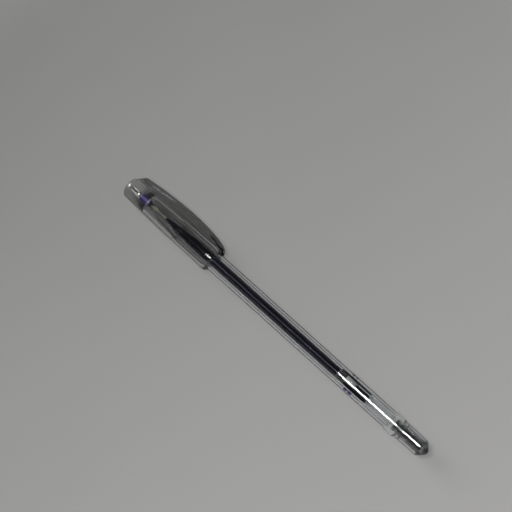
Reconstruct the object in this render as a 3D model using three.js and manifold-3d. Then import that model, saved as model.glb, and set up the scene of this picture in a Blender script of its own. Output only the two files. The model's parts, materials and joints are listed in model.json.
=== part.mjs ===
// A capped stick ballpoint pen, lying on its side with its clip propped on the table.
// Millimetres, +Z up. The pen's axis runs along X, the cap's closed end towards -X.
// Stations along the axis are counted from the barrel's front rim, positive towards the tail.
import * as THREE from 'three';
import { mergeVertices } from 'three/addons/utils/BufferGeometryUtils.js';
import Module from 'manifold-3d';

// Facets round a turned piece, and steps in a rounded stretch of its profile
const roundSides = 32;
const roundSteps = 6;

// Clearances: round a piece that slides or is pressed in, and at the end of a seated piece
const slideGap = 0.1;
const seatGap = 0.2;

// Barrel: a clear tube with a raised band that stops the cap when it is posted on the tail
const barrelLength = 120;
const barrelRadius = 3.7;
const barrelWall = 0.95;
const rimChamfer = 0.25;
const beadRadius = 4.15;
const beadLength = 4.7;
const beadShoulder = 0.8;
const tailSleeveLength = 10.6;
const tailSleeveFrontRadius = 3.65;
const tailSleeveRearRadius = 3.5;
const neckRadius = 3.45;
const neckWidth = 0.4;
const neckRingRadius = 3.75;
const neckRingWidth = 1.4;

// Printed film wrapped round the barrel over the end of the refill
const labelLength = 15;
const labelThickness = 0.1;
const labelGap = 0.03;

// Tail plug: a blunt cone as its head outside the barrel, a slim stem with sealing ribs inside it
const plugHeadLength = 2.7;
const plugHeadPower = 1.15;
const plugTipFlatRadius = 0.8;
const plugStemLength = 12.8;
const plugStemRadius = 2.45;
const plugStemChamfer = 0.4;
const plugRibCount = 2;
const plugRibWidth = 1.2;
const plugRibPitch = 3;
const plugRibSetback = 1;

// Nose cone: a clear cone in front of the barrel, with a collar and a spigot pressed into it
const noseLength = 13.6;
const noseFrontRadius = 1.6;
const noseRearRadius = 3.2;
const noseBulge = 0.25;
const noseCollarRadius = 3.6;
const noseCollarLength = 0.8;
const noseSpigotLength = 9;

// Writing tip: a turned metal cone with a ball in its crimped mouth and a shank behind
const tipProjection = 2.1;
const tipBodyRadius = 1.15;
const tipBodyLength = 1.4;
const tipConeLength = 2.4;
const tipWall = 0.09;
const tipShankRadius = 0.75;
const tipShankLength = 4.4;
const tipChannelRadius = 0.2;
const ballRadius = 0.35;
const ballGap = 0.035;
const ballShowing = 0.16;
const ballSides = 16;

// Nib holder: the moulded adapter between the metal tip and the ink tube
const holderFrontRadius = 1.35;
const holderNeckLength = 5;
const holderCollarLength = 0.4;
const holderSpigotLength = 4.7;
const holderChamberFrontRadius = 0.35;
const holderChamberRearRadius = 0.85;
const holderSpigotWall = 0.2;

// Ink tube, the ink in it and the pale grease that follows the ink down
const inkTubeRadius = 1.95;
const inkTubeWall = 0.35;
const refillTailGap = 13;
const inkGap = 0.06;
const followerLength = 5.2;
const inkEndToTubeEnd = 11.8;
const meniscusDepth = 0.8;

// Cap: a smoky clear shell with a solid crown, a slightly tapered waist and a flared mouth
const capOverBarrel = 16;
const capCrownToBall = 11.4;
const capCrownFlatRadius = 1.4;
const capCrownRadius = 4.1;
const capCrownRounding = 2.3;
const capWaistRadius = 4.75;
const capWaistFromCrown = 20;
const capBodyRadius = 4.85;
const capFlareLength = 4;
const capBeadRadius = 5.05;
const capBeadSetback = 2.4;
const capLipRadius = 4.3;
const capLipChamfer = 0.3;
const capStopWidth = 0.38;
const capCavityFrontRadius = 2.9;
const capCavityBevel = 0.6;
const capPocketDome = 1.4;
const capReliefRadius = 0.3;
const capReliefSkin = 1.7;

// Blue seal plug in the crown, which the ball rests against
const sealToBall = 0.3;
const sealFlangeRadius = 1.5;
const sealFlangeThickness = 0.4;
const sealStemRadius = 0.85;
const sealStemLength = 3.7;
const sealDimpleDepth = 0.12;

// Clip: an arched blade from the crown to just past the mouth, with a grip pad under its end
const clipRootSetback = 1.8;
const clipRootLength = 2.3;
const clipSeatHeight = 4.3;
const clipCrestHeight = 8.3;
const clipCrestFromCrown = 24;
const clipRootHeight = 6;
const clipRootPower = 1.6;
const clipNosePower = 2.15;
const clipNoseHeight = 4.7;
const clipOverhang = 0.9;
const clipThickness = 1.5;
const clipRootThickness = 1.9;
const clipFootSlope = 1.6;
const clipArchFromCrown = 8;
const clipThinFromCrown = 20;
const clipPadLength = 6;
const clipPadSlope = 3.2;
const clipPadGap = 0.25;
const clipWidth = 5;
const clipTipWidth = 3.8;
const clipChamfer = 0.25;
const clipChamferShare = 0.35;
const clipSteps = 14;

// Sizes and stations that follow from those above
const boreRadius = barrelRadius - barrelWall;
const beadEnd = barrelLength - tailSleeveLength;
const beadStart = beadEnd - beadLength;
const plugHeadStart = barrelLength + seatGap;
const plugStemStart = barrelLength - plugStemLength;
const noseFront = -noseLength;
const tipShoulder = noseFront + tipBodyLength + seatGap;
const ballFront = noseFront - tipProjection;
const ballCentre = ballFront + ballRadius;
const tipMouth = ballFront + ballShowing;
const tipConeEnd = tipMouth + tipConeLength;
const tipShankEnd = tipShoulder + tipShankLength;
const holderFront = tipShoulder + seatGap;
const holderNeckEnd = holderFront + holderNeckLength;
const holderCollarEnd = -noseCollarLength - seatGap;
const holderCollarStart = holderCollarEnd - holderCollarLength;
const holderEnd = holderCollarEnd + holderSpigotLength;
const holderSpigotRadius = inkTubeRadius - inkTubeWall - slideGap;
const holderSpigotBore = holderSpigotRadius - holderSpigotWall;
const chamberStart = tipShankEnd + seatGap;
const inkTubeStart = holderCollarEnd + seatGap;
const refillEnd = plugStemStart - refillTailGap;
const inkTubeBore = inkTubeRadius - inkTubeWall;
const inkEnd = refillEnd - inkEndToTubeEnd;
const capCrown = ballFront - capCrownToBall;
const capMouth = capOverBarrel;
const capBead = capMouth - capBeadSetback;
const capBore = barrelRadius + slideGap;
const capStop = -noseCollarLength - 2 * seatGap;
const sealFace = ballFront - sealToBall;
const capCavityFloor = sealFace - sealFlangeThickness - seatGap;
const capPocketEnd = sealFace - sealFlangeThickness - sealStemLength - seatGap;
const clipRootStart = capCrown + clipRootSetback;
const clipRootEnd = clipRootStart + clipRootLength;
const clipFootHeight = clipSeatHeight + seatGap;
const clipCrest = capCrown + clipCrestFromCrown;
const clipTip = capMouth + clipOverhang;
const clipPadHeight = capBeadRadius + clipPadGap;
const clipPadEnd = capMouth - clipPadGap;
const clipNoseWall = clipOuterHeight(clipPadEnd) - clipPadHeight;
const clipEdge = Math.min(clipChamfer, clipChamferShare * clipNoseWall);

// The pen rolls until the lower edge of its clip meets the table beside the cap's bead
const clipEdgeHeight = clipCrestHeight - clipEdge;
const clipEdgeReach = Math.hypot(clipEdgeHeight, clipWidth / 2);
const clipDroop = Math.asin(capBeadRadius / clipEdgeReach) - Math.atan2(clipWidth / 2, clipEdgeHeight);

// Materials
function finish(color, roughness, metalness, opacity = 1) {
  return new THREE.MeshStandardMaterial({ color, roughness, metalness, opacity, transparent: opacity < 1 });
}

const clearPlastic = () => finish(0xd6dadc, 0.08, 0, 0.35);
const smokyPlastic = () => finish(0x8b8e8f, 0.1, 0, 0.5);
const tubePlastic = () => finish(0xc9ccd0, 0.25, 0, 0.4);
const darkPlastic = () => finish(0x4a4c4e, 0.15, 0.1);
const filmPlastic = () => finish(0xd9dcdf, 0.2, 0, 0.3);
const inkFluid = () => finish(0x14101f, 0.15, 0);
const greaseFluid = () => finish(0xc9c6b4, 0.3, 0, 0.6);
const blueElastomer = () => finish(0x1d1a8c, 0.4, 0);
const nickelSilver = () => finish(0x9a9873, 0.3, 0.9);
const carbide = () => finish(0xb8b8ba, 0.12, 1);

// Helpers for turned profiles: a profile is a list of [station, radius]
function rounded(start, end, radiusAt) {
  const points = [];
  for (let step = 0; step <= roundSteps; step++) {
    const share = step / roundSteps;
    points.push([start + (end - start) * share, radiusAt(share)]);
  }
  return points;
}

function bump(start, end, low, high) {
  return rounded(start, end, (share) => low + (high - low) * Math.sin(Math.PI * share));
}

// A quarter of an ellipse from a flat end face of radius low to a side of radius high
function shoulder(face, side, low, high) {
  const points = [];
  for (let step = 0; step <= roundSteps; step++) {
    const angle = (Math.PI / 2) * (step / roundSteps);
    points.push([side + (face - side) * Math.cos(angle), low + (high - low) * Math.sin(angle)]);
  }
  return points;
}

function turned(profile) {
  const points = profile.map(([station, radius]) => new THREE.Vector2(radius, station));
  const closed = [...points, points[0]];
  const onAxis = points[0].x === 0 && points[points.length - 1].x === 0;
  const outline = onAxis ? points : closed;
  if (THREE.ShapeUtils.isClockWise(points)) outline.reverse();
  return new THREE.LatheGeometry(outline, roundSides).rotateZ(-Math.PI / 2);
}

function piece(name, geometry, material) {
  const mesh = new THREE.Mesh(geometry, material);
  mesh.name = name;
  return mesh;
}

// Joining two closed solids
const wasm = await Module();
wasm.setup();

function solidOf(geometry) {
  const bare = geometry.clone();
  bare.deleteAttribute('normal');
  bare.deleteAttribute('uv');
  const merged = mergeVertices(bare, 1e-4);
  const vertProperties = new Float32Array(merged.attributes.position.array);
  const triVerts = new Uint32Array(merged.index.array);
  return new wasm.Manifold(new wasm.Mesh({ numProp: 3, vertProperties, triVerts }));
}

function geometryOf(solid) {
  const mesh = solid.getMesh();
  const geometry = new THREE.BufferGeometry();
  geometry.setAttribute('position', new THREE.BufferAttribute(mesh.vertProperties, 3));
  geometry.setIndex(new THREE.BufferAttribute(mesh.triVerts, 1));
  geometry.computeVertexNormals();
  return geometry;
}

// Barrel and what is fixed to it
function barrelTube() {
  const neckEnd = beadEnd + neckWidth;
  const ringEnd = neckEnd + neckRingWidth;
  return turned([
    [0, boreRadius],
    [0, barrelRadius - rimChamfer],
    [rimChamfer, barrelRadius],
    ...shoulder(beadStart, beadStart + beadShoulder, barrelRadius, beadRadius),
    ...shoulder(beadEnd, beadEnd - beadShoulder, barrelRadius, beadRadius).reverse(),
    [beadEnd + neckWidth / 2, neckRadius],
    ...bump(neckEnd, ringEnd, neckRadius, neckRingRadius),
    [ringEnd + neckWidth, tailSleeveFrontRadius],
    [barrelLength, tailSleeveRearRadius],
    [barrelLength, boreRadius],
  ]);
}

function barrelLabel() {
  const inner = barrelRadius + labelGap;
  const outer = inner + labelThickness;
  const start = refillEnd - labelLength;
  return turned([
    [start, inner],
    [start, outer],
    [refillEnd, outer],
    [refillEnd, inner],
  ]);
}

function tailPlug() {
  const ribRadius = boreRadius - slideGap;
  const ribs = [];
  for (let rib = plugRibCount; rib >= 1; rib--) {
    const ribEnd = barrelLength - plugRibSetback - (rib - 1) * plugRibPitch;
    ribs.push(...bump(ribEnd - plugRibWidth, ribEnd, plugStemRadius, ribRadius));
  }
  const headEnd = plugHeadStart + plugHeadLength;
  const head = (share) => tailSleeveRearRadius
    - (tailSleeveRearRadius - plugTipFlatRadius) * share ** plugHeadPower;
  return turned([
    [plugStemStart, 0],
    [plugStemStart, plugStemRadius - plugStemChamfer],
    [plugStemStart + plugStemChamfer, plugStemRadius],
    ...ribs,
    [plugHeadStart, plugStemRadius],
    ...rounded(plugHeadStart, headEnd, head),
    [headEnd, 0],
  ]);
}

// Nose cone
function noseCone() {
  const holeRadius = tipBodyRadius + slideGap;
  const tubeHole = inkTubeRadius + slideGap;
  const coneEnd = -noseCollarLength - seatGap;
  const cone = (share) => noseFrontRadius + (noseRearRadius - noseFrontRadius) * share
    + noseBulge * Math.sin(Math.PI * share);
  const spigotRadius = boreRadius - slideGap;
  return turned([
    [noseFront, holeRadius],
    ...rounded(noseFront, coneEnd, cone),
    [coneEnd, noseCollarRadius],
    [-seatGap, noseCollarRadius],
    [-seatGap, spigotRadius],
    [noseSpigotLength - rimChamfer, spigotRadius],
    [noseSpigotLength, spigotRadius - rimChamfer],
    [noseSpigotLength, tubeHole],
    [holderCollarStart - slideGap, tubeHole],
    [holderNeckEnd, holderFrontRadius + slideGap],
    [tipShoulder, holderFrontRadius + slideGap],
    [tipShoulder, holeRadius],
  ]);
}

// Refill
function nibHolder() {
  const shankHole = tipShankRadius + slideGap;
  return turned([
    [holderFront, shankHole],
    [holderFront, holderFrontRadius],
    [holderNeckEnd, holderFrontRadius],
    [holderCollarStart, inkTubeRadius],
    [holderCollarEnd, inkTubeRadius],
    [holderCollarEnd, holderSpigotRadius],
    [holderEnd, holderSpigotRadius],
    [holderEnd, holderSpigotBore],
    [holderCollarEnd, holderSpigotBore],
    [holderCollarStart, holderChamberRearRadius],
    [chamberStart, holderChamberFrontRadius],
    [tipShankEnd + seatGap / 2, shankHole],
  ]);
}

function writingTip() {
  const socketRadius = ballRadius + ballGap;
  const mouthHalfWidth = Math.sqrt(ballRadius ** 2 - (ballCentre - tipMouth) ** 2);
  const mouthRadius = mouthHalfWidth + ballGap;
  return turned([
    [tipMouth, mouthRadius],
    [tipMouth, mouthRadius + tipWall],
    [tipConeEnd, tipBodyRadius],
    [tipShoulder, tipBodyRadius],
    [tipShoulder, tipShankRadius],
    [tipShankEnd, tipShankRadius],
    [tipShankEnd, tipChannelRadius],
    [ballCentre + ballRadius + socketRadius, tipChannelRadius],
    [ballCentre + socketRadius, socketRadius],
    [ballCentre, socketRadius],
  ]);
}

function tipBall() {
  return new THREE.SphereGeometry(ballRadius, ballSides, ballSides / 2).rotateZ(Math.PI / 2);
}

function inkTube() {
  return turned([
    [inkTubeStart, inkTubeBore],
    [inkTubeStart, inkTubeRadius],
    [refillEnd, inkTubeRadius],
    [refillEnd, inkTubeBore],
  ]);
}

// The ink starts as a dark wedge in the holder's chamber and widens behind its spigot
function inkColumn() {
  const inkRadius = inkTubeBore - inkGap;
  return turned([
    [chamberStart + seatGap, 0],
    [chamberStart + seatGap, holderChamberFrontRadius - inkGap],
    [holderCollarStart, holderChamberRearRadius - inkGap],
    [holderCollarEnd, holderSpigotBore - inkGap],
    [holderEnd + seatGap, holderSpigotBore - inkGap],
    [holderEnd + seatGap, inkRadius],
    [inkEnd, inkRadius],
    [inkEnd - meniscusDepth, 0],
  ]);
}

function greaseFollower() {
  const greaseRadius = inkTubeBore - inkGap;
  const start = inkEnd + seatGap;
  return turned([
    [start - meniscusDepth, 0],
    [start, greaseRadius],
    [start + followerLength, greaseRadius],
    [start + followerLength - meniscusDepth, 0],
  ]);
}

// Cap
function capProfile() {
  const flareStart = capBead - capFlareLength;
  const flare = (share) => capBodyRadius + (capBeadRadius - capBodyRadius) * share ** 2;
  const pocketRadius = sealStemRadius + slideGap;
  return turned([
    [capCrown, 0],
    ...shoulder(capCrown, capCrown + capCrownRounding, capCrownFlatRadius, capCrownRadius),
    [capCrown + capWaistFromCrown, capWaistRadius],
    ...rounded(flareStart, capBead, flare),
    ...shoulder(capMouth, capBead, capLipRadius, capBeadRadius).reverse(),
    [capMouth, capBore + capLipChamfer],
    [capMouth - capLipChamfer, capBore],
    [capStop, capBore],
    [capStop, capBore - capStopWidth],
    [capCavityFloor + capCavityBevel, capCavityFrontRadius],
    [capCavityFloor, capCavityFrontRadius - capCavityBevel],
    [capCavityFloor, pocketRadius],
    ...shoulder(capPocketEnd - capPocketDome, capPocketEnd, capReliefRadius, pocketRadius).reverse(),
    [capCrown + capReliefSkin, capReliefRadius],
    [capCrown + capReliefSkin, 0],
  ]);
}

// The shell carries a flat-topped seat for the clip's foot
function capShell() {
  const shell = solidOf(capProfile());
  const seatWidth = clipWidth - 2 * clipEdge;
  const seatBottom = capReliefRadius + slideGap;
  const seat = new THREE.BoxGeometry(clipRootLength, clipSeatHeight - seatBottom, seatWidth);
  seat.translate(clipRootStart + clipRootLength / 2, (clipSeatHeight + seatBottom) / 2, 0);
  seat.rotateX(-clipDroop);
  return geometryOf(shell.add(solidOf(seat)));
}

function sealPlug() {
  const flangeStart = sealFace - sealFlangeThickness;
  return turned([
    [flangeStart - sealStemLength, 0],
    [flangeStart - sealStemLength, sealStemRadius],
    [flangeStart, sealStemRadius],
    [flangeStart, sealFlangeRadius],
    [sealFace, sealFlangeRadius],
    [sealFace - sealDimpleDepth, 0],
  ]);
}

// Height of the clip's outer face over the axis: a shallow rise from the root, a blunt fall to the tip
function clipOuterHeight(station) {
  if (station < clipCrest) {
    const share = (clipCrest - station) / (clipCrest - clipRootStart);
    return clipCrestHeight - (clipCrestHeight - clipRootHeight) * share ** clipRootPower;
  }
  const share = (station - clipCrest) / (clipTip - clipCrest);
  const fall = (1 - share ** clipNosePower) ** (1 / clipNosePower);
  return clipNoseHeight + (clipCrestHeight - clipNoseHeight) * fall;
}

function clipInnerHeight(station) {
  const thinStart = capCrown + clipThinFromCrown;
  const archStart = capCrown + clipArchFromCrown;
  const share = Math.max(0, (thinStart - station) / (thinStart - archStart));
  return clipOuterHeight(station) - clipThickness - (clipRootThickness - clipThickness) * share ** clipRootPower;
}

// Side view of the clip, as stations and heights over the axis
function clipOutline() {
  const outline = new THREE.Shape();
  const outerStart = clipRootStart + clipFootSlope;
  const archStart = capCrown + clipArchFromCrown;
  const padStart = clipPadEnd - clipPadLength;
  const archEnd = padStart - clipPadSlope;
  outline.moveTo(clipRootStart, clipFootHeight);
  for (let step = 0; step < clipSteps; step++) {
    const station = outerStart + (clipCrest - outerStart) * (step / clipSteps);
    outline.lineTo(station, clipOuterHeight(station));
  }
  for (let step = 0; step <= clipSteps; step++) {
    const share = Math.sin((Math.PI / 2) * (step / clipSteps));
    const station = clipCrest + (clipTip - clipCrest) * share;
    outline.lineTo(station, clipOuterHeight(station));
  }
  outline.lineTo(clipTip - clipEdge, clipNoseHeight - clipEdge);
  outline.lineTo(clipPadEnd + clipPadGap, clipNoseHeight);
  outline.lineTo(clipPadEnd, clipPadHeight);
  outline.lineTo(padStart, clipPadHeight);
  for (let step = 0; step <= clipSteps; step++) {
    const station = archEnd + (archStart - archEnd) * (step / clipSteps);
    outline.lineTo(station, clipInnerHeight(station));
  }
  outline.lineTo(clipRootEnd, clipFootHeight);
  return outline;
}

function capClip() {
  const blade = new THREE.ExtrudeGeometry(clipOutline(), {
    depth: clipWidth - 2 * clipEdge,
    steps: 1,
    bevelEnabled: true,
    bevelThickness: clipEdge,
    bevelSize: clipEdge,
    bevelOffset: -clipEdge,
    bevelSegments: 1,
  });
  blade.translate(0, 0, clipEdge - clipWidth / 2);
  const position = blade.attributes.position;
  for (let index = 0; index < position.count; index++) {
    const share = Math.max(0, (position.getX(index) - clipCrest) / (clipTip - clipCrest));
    const narrowing = 1 - (1 - clipTipWidth / clipWidth) * share ** 2;
    position.setZ(index, position.getZ(index) * narrowing);
  }
  return blade.rotateX(-clipDroop);
}

// Assembly
const pen = new THREE.Group();

const barrel = new THREE.Group();
barrel.add(piece('barrel_tube', barrelTube(), clearPlastic()));
barrel.add(piece('barrel_label', barrelLabel(), filmPlastic()));
barrel.add(piece('tail_plug', tailPlug(), darkPlastic()));
pen.add(barrel);

const front = new THREE.Group();
front.add(piece('nose_cone', noseCone(), clearPlastic()));
front.add(piece('nib_holder', nibHolder(), tubePlastic()));
front.add(piece('writing_tip', writingTip(), nickelSilver()));
front.add(piece('ink_tube', inkTube(), tubePlastic()));
front.add(piece('ink_column', inkColumn(), inkFluid()));
front.add(piece('grease_follower', greaseFollower(), greaseFluid()));
const ball = piece('tip_ball', tipBall(), carbide());
ball.position.x = ballCentre;
front.add(ball);
pen.add(front);

const cap = new THREE.Group();
cap.add(piece('cap_shell', capShell(), smokyPlastic()));
cap.add(piece('cap_seal_plug', sealPlug(), blueElastomer()));
cap.add(piece('cap_clip', capClip(), smokyPlastic()));
pen.add(cap);

// The origin is on the table, under the middle of the lying pen
const extent = new THREE.Box3().setFromObject(pen);
const middle = extent.getCenter(new THREE.Vector3());
pen.position.set(-middle.x, -middle.y, -extent.min.z);
pen.updateMatrixWorld(true);

const group = pen;
export default group;
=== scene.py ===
"""The looks of a capped stick ballpoint pen that lies on a pale table with its clip propped on it.

Stations run along the pen's axis in millimetres, from the barrel's front rim towards the tail.
"""

import json
import math

import bmesh
import bpy
from mathutils import Matrix, Vector


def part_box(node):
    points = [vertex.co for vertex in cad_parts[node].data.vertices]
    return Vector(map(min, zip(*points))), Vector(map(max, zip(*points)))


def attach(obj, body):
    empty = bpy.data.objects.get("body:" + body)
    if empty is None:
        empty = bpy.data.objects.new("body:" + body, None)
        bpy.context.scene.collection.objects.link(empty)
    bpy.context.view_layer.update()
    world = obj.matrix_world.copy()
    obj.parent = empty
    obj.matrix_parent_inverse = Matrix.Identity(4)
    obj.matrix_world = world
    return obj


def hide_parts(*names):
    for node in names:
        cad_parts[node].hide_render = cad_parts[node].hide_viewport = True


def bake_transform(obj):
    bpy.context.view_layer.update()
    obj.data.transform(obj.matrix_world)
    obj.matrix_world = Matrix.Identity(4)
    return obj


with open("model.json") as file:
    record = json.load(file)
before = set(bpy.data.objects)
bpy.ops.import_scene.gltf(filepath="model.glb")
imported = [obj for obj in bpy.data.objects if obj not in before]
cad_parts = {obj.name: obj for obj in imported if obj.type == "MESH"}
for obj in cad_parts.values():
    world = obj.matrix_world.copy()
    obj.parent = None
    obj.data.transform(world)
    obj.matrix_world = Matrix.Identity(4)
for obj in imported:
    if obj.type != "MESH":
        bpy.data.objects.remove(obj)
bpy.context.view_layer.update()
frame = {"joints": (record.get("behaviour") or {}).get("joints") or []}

MM = 0.001

# The pen's place in the frame: the barrel's front rim, the axis, and how far the clip droops below level
barrel_low, barrel_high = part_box("barrel_tube")
FRONT = barrel_low.x
AXIS_SIDE = (barrel_low.y + barrel_high.y) / 2
AXIS_HEIGHT = (barrel_low.z + barrel_high.z) / 2
clip_joint = next(joint for joint in frame["joints"] if joint["name"] == "clip_flex")
CLIP_DROOP = math.atan2(clip_joint["axis"][1], clip_joint["axis"][2])

# Sizes in millimetres: the construction's own, and those of the fine trim that only the looks have
BARREL_LENGTH = 120
BARREL_RADIUS = 3.7
BORE_RADIUS = 2.75
BEAD_RADIUS = 4.15
BEAD_START, BEAD_END, BEAD_SHOULDER, BEAD_FOOT = 104.7, 109.4, 0.8, 0.3
NECK_RADIUS, NECK_STEP, NECK_FLAT = 3.45, 0.12, 0.3
RING_START, RING_END, RING_RADIUS = 109.8, 111.2, 3.75
SLEEVE_FRONT_RADIUS, SLEEVE_REAR_RADIUS = 3.65, 3.5
SLEEVE_GAP, SLEEVE_STEP = 0.15, 0.35
RIDGE_POWER = 1.15
RIM_CHAMFER = 0.25

LABEL_START, LABEL_END = 79.2, 94.2
FILM_INNER, FILM_OUTER = 3.72, 3.79

STEM_START, STEM_RADIUS, RIB_RADIUS = 107.2, 2.45, 2.65
RIB_WIDTH = 1.2
RIB_ENDS = (116, 119)
HEAD_START, HEAD_END = 120.2, 122.9
HEAD_FLAT_RADIUS, HEAD_POWER = 0.8, 1.15

NOSE_FRONT, NOSE_CONE_END = -13.6, -1.0
NOSE_FRONT_RADIUS, NOSE_REAR_RADIUS, NOSE_BULGE = 1.6, 3.2, 0.25
NOSE_COLLAR_RADIUS, NOSE_COLLAR_END = 3.6, -0.2
NOSE_SPIGOT_RADIUS, NOSE_SPIGOT_END = 2.65, 9.0
NOSE_HOLE_RADIUS, NOSE_NECK_BORE, NOSE_TUBE_BORE = 1.25, 1.45, 2.05

BALL_CENTRE, BALL_RADIUS = -15.35, 0.35
TIP_MOUTH, TIP_CONE_END, TIP_SHOULDER, TIP_SHANK_END = -15.54, -13.14, -12.0, -7.6
TIP_MOUTH_RADIUS, TIP_WALL, TIP_BODY_RADIUS, TIP_SHANK_RADIUS = 0.33, 0.09, 1.15, 0.75
TIP_BORE_RADIUS, SOCKET_RADIUS, SEAT_DEPTH = 0.2, 0.385, 0.74
GROOVE_SHARES, GROOVE_REACH = (0.42, 0.6), 0.09
GROOVE_FRONT_CUT, GROOVE_CUT, GROOVE_LIP = 0.035, 0.07, 0.03

HOLDER_FRONT, HOLDER_NECK_END, HOLDER_COLLAR, HOLDER_COLLAR_END, HOLDER_END = -11.8, -6.8, -1.4, -1.0, 3.7
HOLDER_FRONT_RADIUS, HOLDER_SPIGOT_RADIUS, SHANK_HOLE_RADIUS = 1.35, 1.5, 0.85
CHAMBER_START, CHAMBER_FRONT_RADIUS, CHAMBER_REAR_RADIUS, HOLDER_SPIGOT_BORE = -7.4, 0.35, 0.85, 1.3

TUBE_START, TUBE_END, TUBE_RADIUS, TUBE_BORE = -0.8, 94.2, 1.95, 1.6
INK_END, GREASE_LENGTH, MENISCUS_DEPTH = 82.4, 5.2, 0.8
INK_START_GAP, GREASE_GAP = 0.2, 0.02

# Clearance at a step between two pieces, and how far a liquid or soft piece runs into the wall that it wets
STEP_GAP = 0.1
WETTED = 0.02

CAP_CROWN, CAP_MOUTH = -27.1, 16
CROWN_FLAT_RADIUS, CROWN_RADIUS, CROWN_ROUNDING = 1.4, 4.1, 2.3
CAP_WAIST, CAP_WAIST_RADIUS = -7.1, 4.75
CAP_BODY_RADIUS, CAP_BEAD_RADIUS, CAP_LIP_RADIUS = 4.85, 5.05, 4.3
CAP_FLARE_START, CAP_BEAD = 9.6, 13.6
CAP_BORE, CAP_STOP, CAP_STOP_RADIUS = 3.8, -1.2, 3.42
CAVITY_FLOOR, CAVITY_RADIUS, CAVITY_BEVEL = -16.6, 2.9, 0.6
POCKET_END, POCKET_RADIUS, POCKET_DOME = -20.3, 0.95, 1.4
RELIEF_START, RELIEF_RADIUS = -25.4, 0.3

SEAL_FACE, SEAL_STEM_START, SEAL_FLANGE_RADIUS = -16.0, -20.1, 1.5
SEAL_CUP_RADIUS, SEAL_CUP_SLOPE, SEAL_CUP_DEPTH = 0.5, 0.04, 0.12

CLIP_ROOT_START, CLIP_ROOT_END = -25.3, -23.0
CLIP_SEAT_HEIGHT, CLIP_FOOT_HEIGHT = 4.3, 4.32
CLIP_CREST, CLIP_TIP = -3.1, 16.9
CLIP_CREST_HEIGHT, CLIP_ROOT_RISE, CLIP_NOSE_HEIGHT, CLIP_NOSE_POWER = 8.3, 2.3, 4.7, 2.15
CLIP_ARCH_START, CLIP_THIN, CLIP_ARCH_END = -19.1, -7.1, 6.55
CLIP_PAD_START, CLIP_PAD_END, CLIP_PAD_HEIGHT = 9.75, 15.75, 5.3
CLIP_THICKNESS, CLIP_ROOT_EXTRA = 1.5, 0.4
CLIP_FOOT_SLOPE, CLIP_ROOT_POWER = 1.6, 1.6
CLIP_WIDTH, CLIP_TIP_WIDTH = 5.0, 3.8
CLIP_EDGE, CLIP_EDGE_SHARE, CLIP_CAMBER = 0.25, 0.45, 0.1
CLIP_SEAT_SPREAD, CLIP_SEAT_LOW = 0.75, 2.6
CLIP_START_GAP, CLIP_END_GAP = 0.02, 0.002

PRINT_GAP, PRINT_THICKNESS, PRINT_CORNER = 0.003, 0.008, 0.25

# The photographed view: how the camera stands, and where the pen's middle lies in the square frame
VIEW_AZIMUTH = math.radians(43.35)
VIEW_ELEVATION = math.radians(72)
CAMERA_DISTANCE = 2.5
FRAME_WIDTH = 0.1873
FRAME_PIXELS = 512
PEN_MIDDLE_PIXEL = (276.9, 317.95)

# The lamps: how far past the streak's middle the narrow one aims, and the way to the two at the cap's end
STREAK_SHIFT = 31
FILL_DIRECTION = Vector((-0.9, -0.1, 0.42))
GLINT_DIRECTION = Vector((-0.955, -0.07, 0.285))

# The table's grey: its share between two tones, how far blotches shift it, and its painted shade towards the
# cap
FLOOR_SHARE, FLOOR_BLOTCH = 0.78, 0.06
PAINTED_FALLOFF_SLOPE, PAINTED_FALLOFF_DROP = 3.2, 0.3
FLOOR_FADE_START, FLOOR_FADE_END = 0.14, 0.22
FLOOR_REACH = 3.0

# How finely pieces are drawn, and which corners of a profile are rounded
TURN_SIDES, TIP_SIDES, BALL_SIDES = 144, 96, 64
BALL_STEPS, CORNER_STEPS, CLIP_STEPS = 40, 5, 90
LEAST_CORNER = math.radians(24)
CORNER_SHARE, CORNER_LEAD = 0.4, 0.2


class Value:
    """A socket of a node tree that can stand in a sum written in Python."""

    def __init__(self, graph, socket):
        self.graph = graph
        self.socket = socket

    def also(self, output):
        """Another output of the same node."""
        return Value(self.graph, pick(self.socket.node.outputs, output))

    def maths(self, operation, *others):
        return self.graph.maths(operation, self, *others)

    def __add__(self, other):
        return self.graph.maths("ADD", self, other)

    def __radd__(self, other):
        return self.graph.maths("ADD", other, self)

    def __sub__(self, other):
        return self.graph.maths("SUBTRACT", self, other)

    def __rsub__(self, other):
        return self.graph.maths("SUBTRACT", other, self)

    def __mul__(self, other):
        return self.graph.maths("MULTIPLY", self, other)

    def __truediv__(self, other):
        return self.graph.maths("DIVIDE", self, other)

    def __mod__(self, other):
        return self.graph.maths("FLOORED_MODULO", self, other)

    def __gt__(self, other):
        return self.graph.maths("GREATER_THAN", self, other)

    def __lt__(self, other):
        return self.graph.maths("LESS_THAN", self, other)


def pick(sockets, key):
    """A socket by its place, or the one in use that has this name."""
    if isinstance(key, int):
        return sockets[key]
    return next(socket for socket in sockets if socket.name == key and socket.enabled)


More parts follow.
